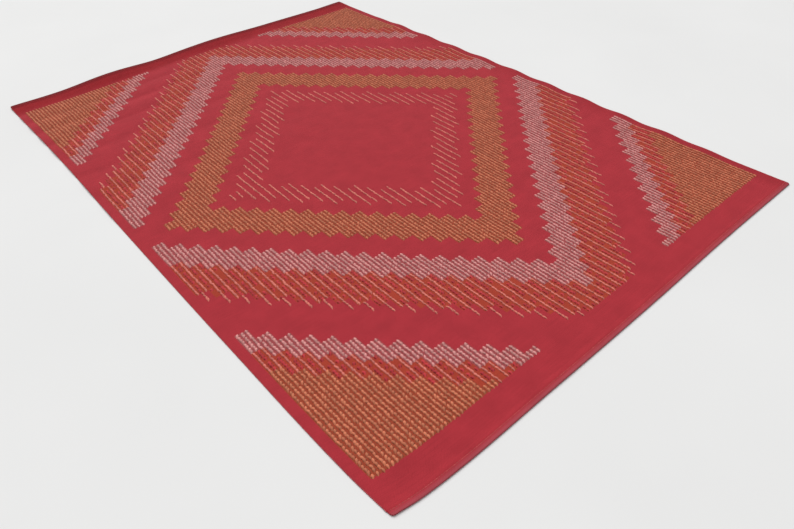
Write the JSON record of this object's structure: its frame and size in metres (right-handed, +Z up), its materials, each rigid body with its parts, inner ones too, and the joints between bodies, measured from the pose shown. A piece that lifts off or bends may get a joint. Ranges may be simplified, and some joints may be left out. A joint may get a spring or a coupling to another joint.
{
  "type": "flat-woven carpet",
  "caption": "Flat-woven wool carpet laid on a floor, with hemmed ends, a plain border, shallow creases and a stepped lozenge pattern in crimson, orange and pink.",
  "frame": {"origin": "on the floor, under the centre of the carpet's footprint", "axes": "+X across the width, +Y along the length towards the end that lifts a little, +Z up"},
  "size_m": [1.998, 2.8222, 0.0158],
  "materials": {
    "ground_cloth": "matt crimson wool, tightly woven, with vermilion, rust and plum grounds inside the pattern",
    "orange_yarn": "matt orange wool yarn, floated over the ground",
    "pink_yarn": "matt dusty pink wool yarn, floated over the ground",
    "salmon_yarn": "matt salmon wool yarn, in thin lines along the length",
    "sewing_thread": "soft red sewing thread in the hems, a little paler than the wool"
  },
  "bodies": {
    "root": {"carpet": "ground_cloth"}
  },
  "joints": []
}
